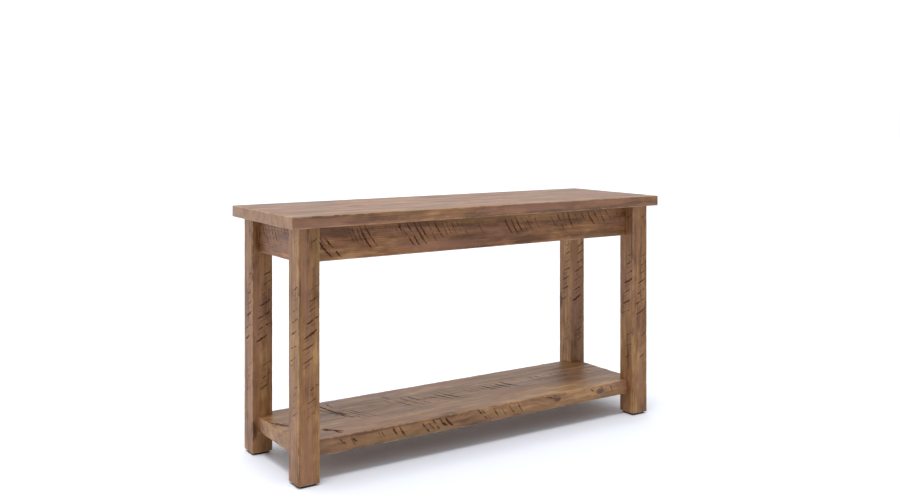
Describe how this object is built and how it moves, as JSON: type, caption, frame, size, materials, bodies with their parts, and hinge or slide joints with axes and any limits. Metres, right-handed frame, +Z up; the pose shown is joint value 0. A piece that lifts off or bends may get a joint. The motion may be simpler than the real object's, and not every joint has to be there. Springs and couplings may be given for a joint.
{
  "type": "console table",
  "caption": "Long narrow side table with a thick board top on square legs, deep aprons under the top and a low shelf between the legs.",
  "frame": {"origin": "on the floor, under the middle of the table", "axes": "+X along the front towards the right-hand end, +Y towards the back, +Z up"},
  "size_m": [1.39, 0.447, 0.762],
  "materials": {
    "top_wood": "stained softwood, satin, pale greyish brown with long faint grain",
    "shelf_wood": "stained softwood, satin, greyish brown with saw marks across the boards",
    "frame_wood": "stained softwood, satin, warm mid brown with dark saw marks and worn edges",
    "inner_wood": "bare planed softwood",
    "zinc_steel": "zinc plated",
    "pad_plastic": "dark, moulded, matte"
  },
  "bodies": {
    "root": {"top_board_front": "top_wood", "top_board_middle": "top_wood", "top_board_back": "top_wood", "top_button_front_left": "inner_wood", "top_button_front_right": "inner_wood", "top_button_back_left": "inner_wood", "top_button_back_right": "inner_wood", "top_button_left_end": "inner_wood", "top_button_right_end": "inner_wood", "top_screw_front_left": "zinc_steel", "top_screw_front_right": "zinc_steel", "top_screw_back_left": "zinc_steel", "top_screw_back_right": "zinc_steel", "top_screw_left_end": "zinc_steel", "top_screw_right_end": "zinc_steel", "apron_front": "frame_wood", "apron_back": "frame_wood", "apron_left": "frame_wood", "apron_right": "frame_wood", "shelf_board_front": "shelf_wood", "shelf_board_middle": "shelf_wood", "shelf_board_back": "shelf_wood", "leg_front_left": "frame_wood", "corner_block_front_left": "inner_wood", "hanger_bolt_front_left": "zinc_steel", "washer_front_left": "zinc_steel", "nut_front_left": "zinc_steel", "shelf_dowel_lower_front_left": "inner_wood", "shelf_dowel_upper_front_left": "inner_wood", "foot_pad_front_left": "pad_plastic", "foot_nail_front_left": "zinc_steel", "leg_front_right": "frame_wood", "corner_block_front_right": "inner_wood", "hanger_bolt_front_right": "zinc_steel", "washer_front_right": "zinc_steel", "nut_front_right": "zinc_steel", "shelf_dowel_lower_front_right": "inner_wood", "shelf_dowel_upper_front_right": "inner_wood", "foot_pad_front_right": "pad_plastic", "foot_nail_front_right": "zinc_steel", "leg_back_left": "frame_wood", "corner_block_back_left": "inner_wood", "hanger_bolt_back_left": "zinc_steel", "washer_back_left": "zinc_steel", "nut_back_left": "zinc_steel", "shelf_dowel_lower_back_left": "inner_wood", "shelf_dowel_upper_back_left": "inner_wood", "foot_pad_back_left": "pad_plastic", "foot_nail_back_left": "zinc_steel", "leg_back_right": "frame_wood", "corner_block_back_right": "inner_wood", "hanger_bolt_back_right": "zinc_steel", "washer_back_right": "zinc_steel", "nut_back_right": "zinc_steel", "shelf_dowel_lower_back_right": "inner_wood", "shelf_dowel_upper_back_right": "inner_wood", "foot_pad_back_right": "pad_plastic", "foot_nail_back_right": "zinc_steel"}
  },
  "joints": []
}
